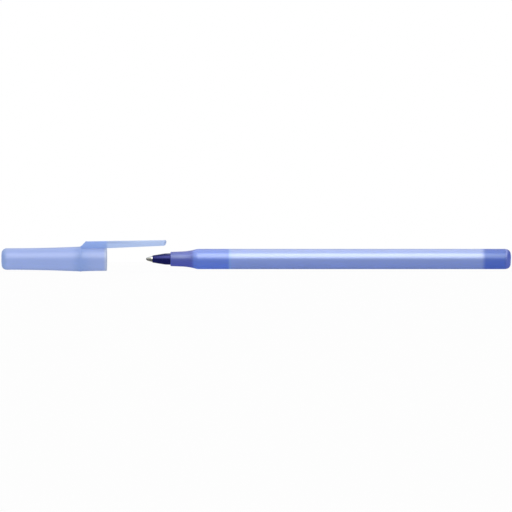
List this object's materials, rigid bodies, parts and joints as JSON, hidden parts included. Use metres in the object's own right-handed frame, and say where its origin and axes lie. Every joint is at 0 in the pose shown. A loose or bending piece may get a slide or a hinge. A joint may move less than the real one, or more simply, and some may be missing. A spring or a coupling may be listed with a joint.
{
  "type": "stick ballpoint pen",
  "caption": "Round stick ballpoint pen with a translucent tapered-nose barrel, an ink tube inside, a push-on cap with a pocket clip drawn off the tip, and an end plug.",
  "frame": {"origin": "on the pen's axis, halfway along the parallel wall of the barrel", "axes": "+X along the pen from the writing ball to the tail, +Z to the side that the pocket clip is on"},
  "size_m": [0.2037, 0.0102, 0.0126],
  "materials": {
    "carbide": "ground dark grey carbide",
    "nickel_silver": "turned pale nickel silver",
    "holder_plastic": "glossy opaque navy moulding",
    "tube_plastic": "natural translucent tube",
    "ink_paste": "dark blue oil-based paste",
    "barrel_plastic": "satin translucent pale blue moulding",
    "plug_plastic": "satin medium blue moulding",
    "cap_plastic": "satin translucent periwinkle moulding"
  },
  "bodies": {
    "pen": {"barrel": "barrel_plastic", "end_plug": "plug_plastic", "tip_holder": "holder_plastic", "ball_socket": "nickel_silver", "ink_tube": "tube_plastic", "ink": "ink_paste"},
    "cap": {"cap": "cap_plastic"},
    "ball": {"writing_ball": "carbide"}
  },
  "joints": [
    {"name": "cap_slide", "type": "slide", "parent": "pen", "child": "cap", "axis": [1, 0, 0], "range_m": [0, 0.05446]},
    {"name": "ball_roll", "type": "hinge", "parent": "pen", "child": "ball", "pos_m": [-0.08195, 0, 0], "axis": [0, 1, 0], "continuous": true}
  ]
}
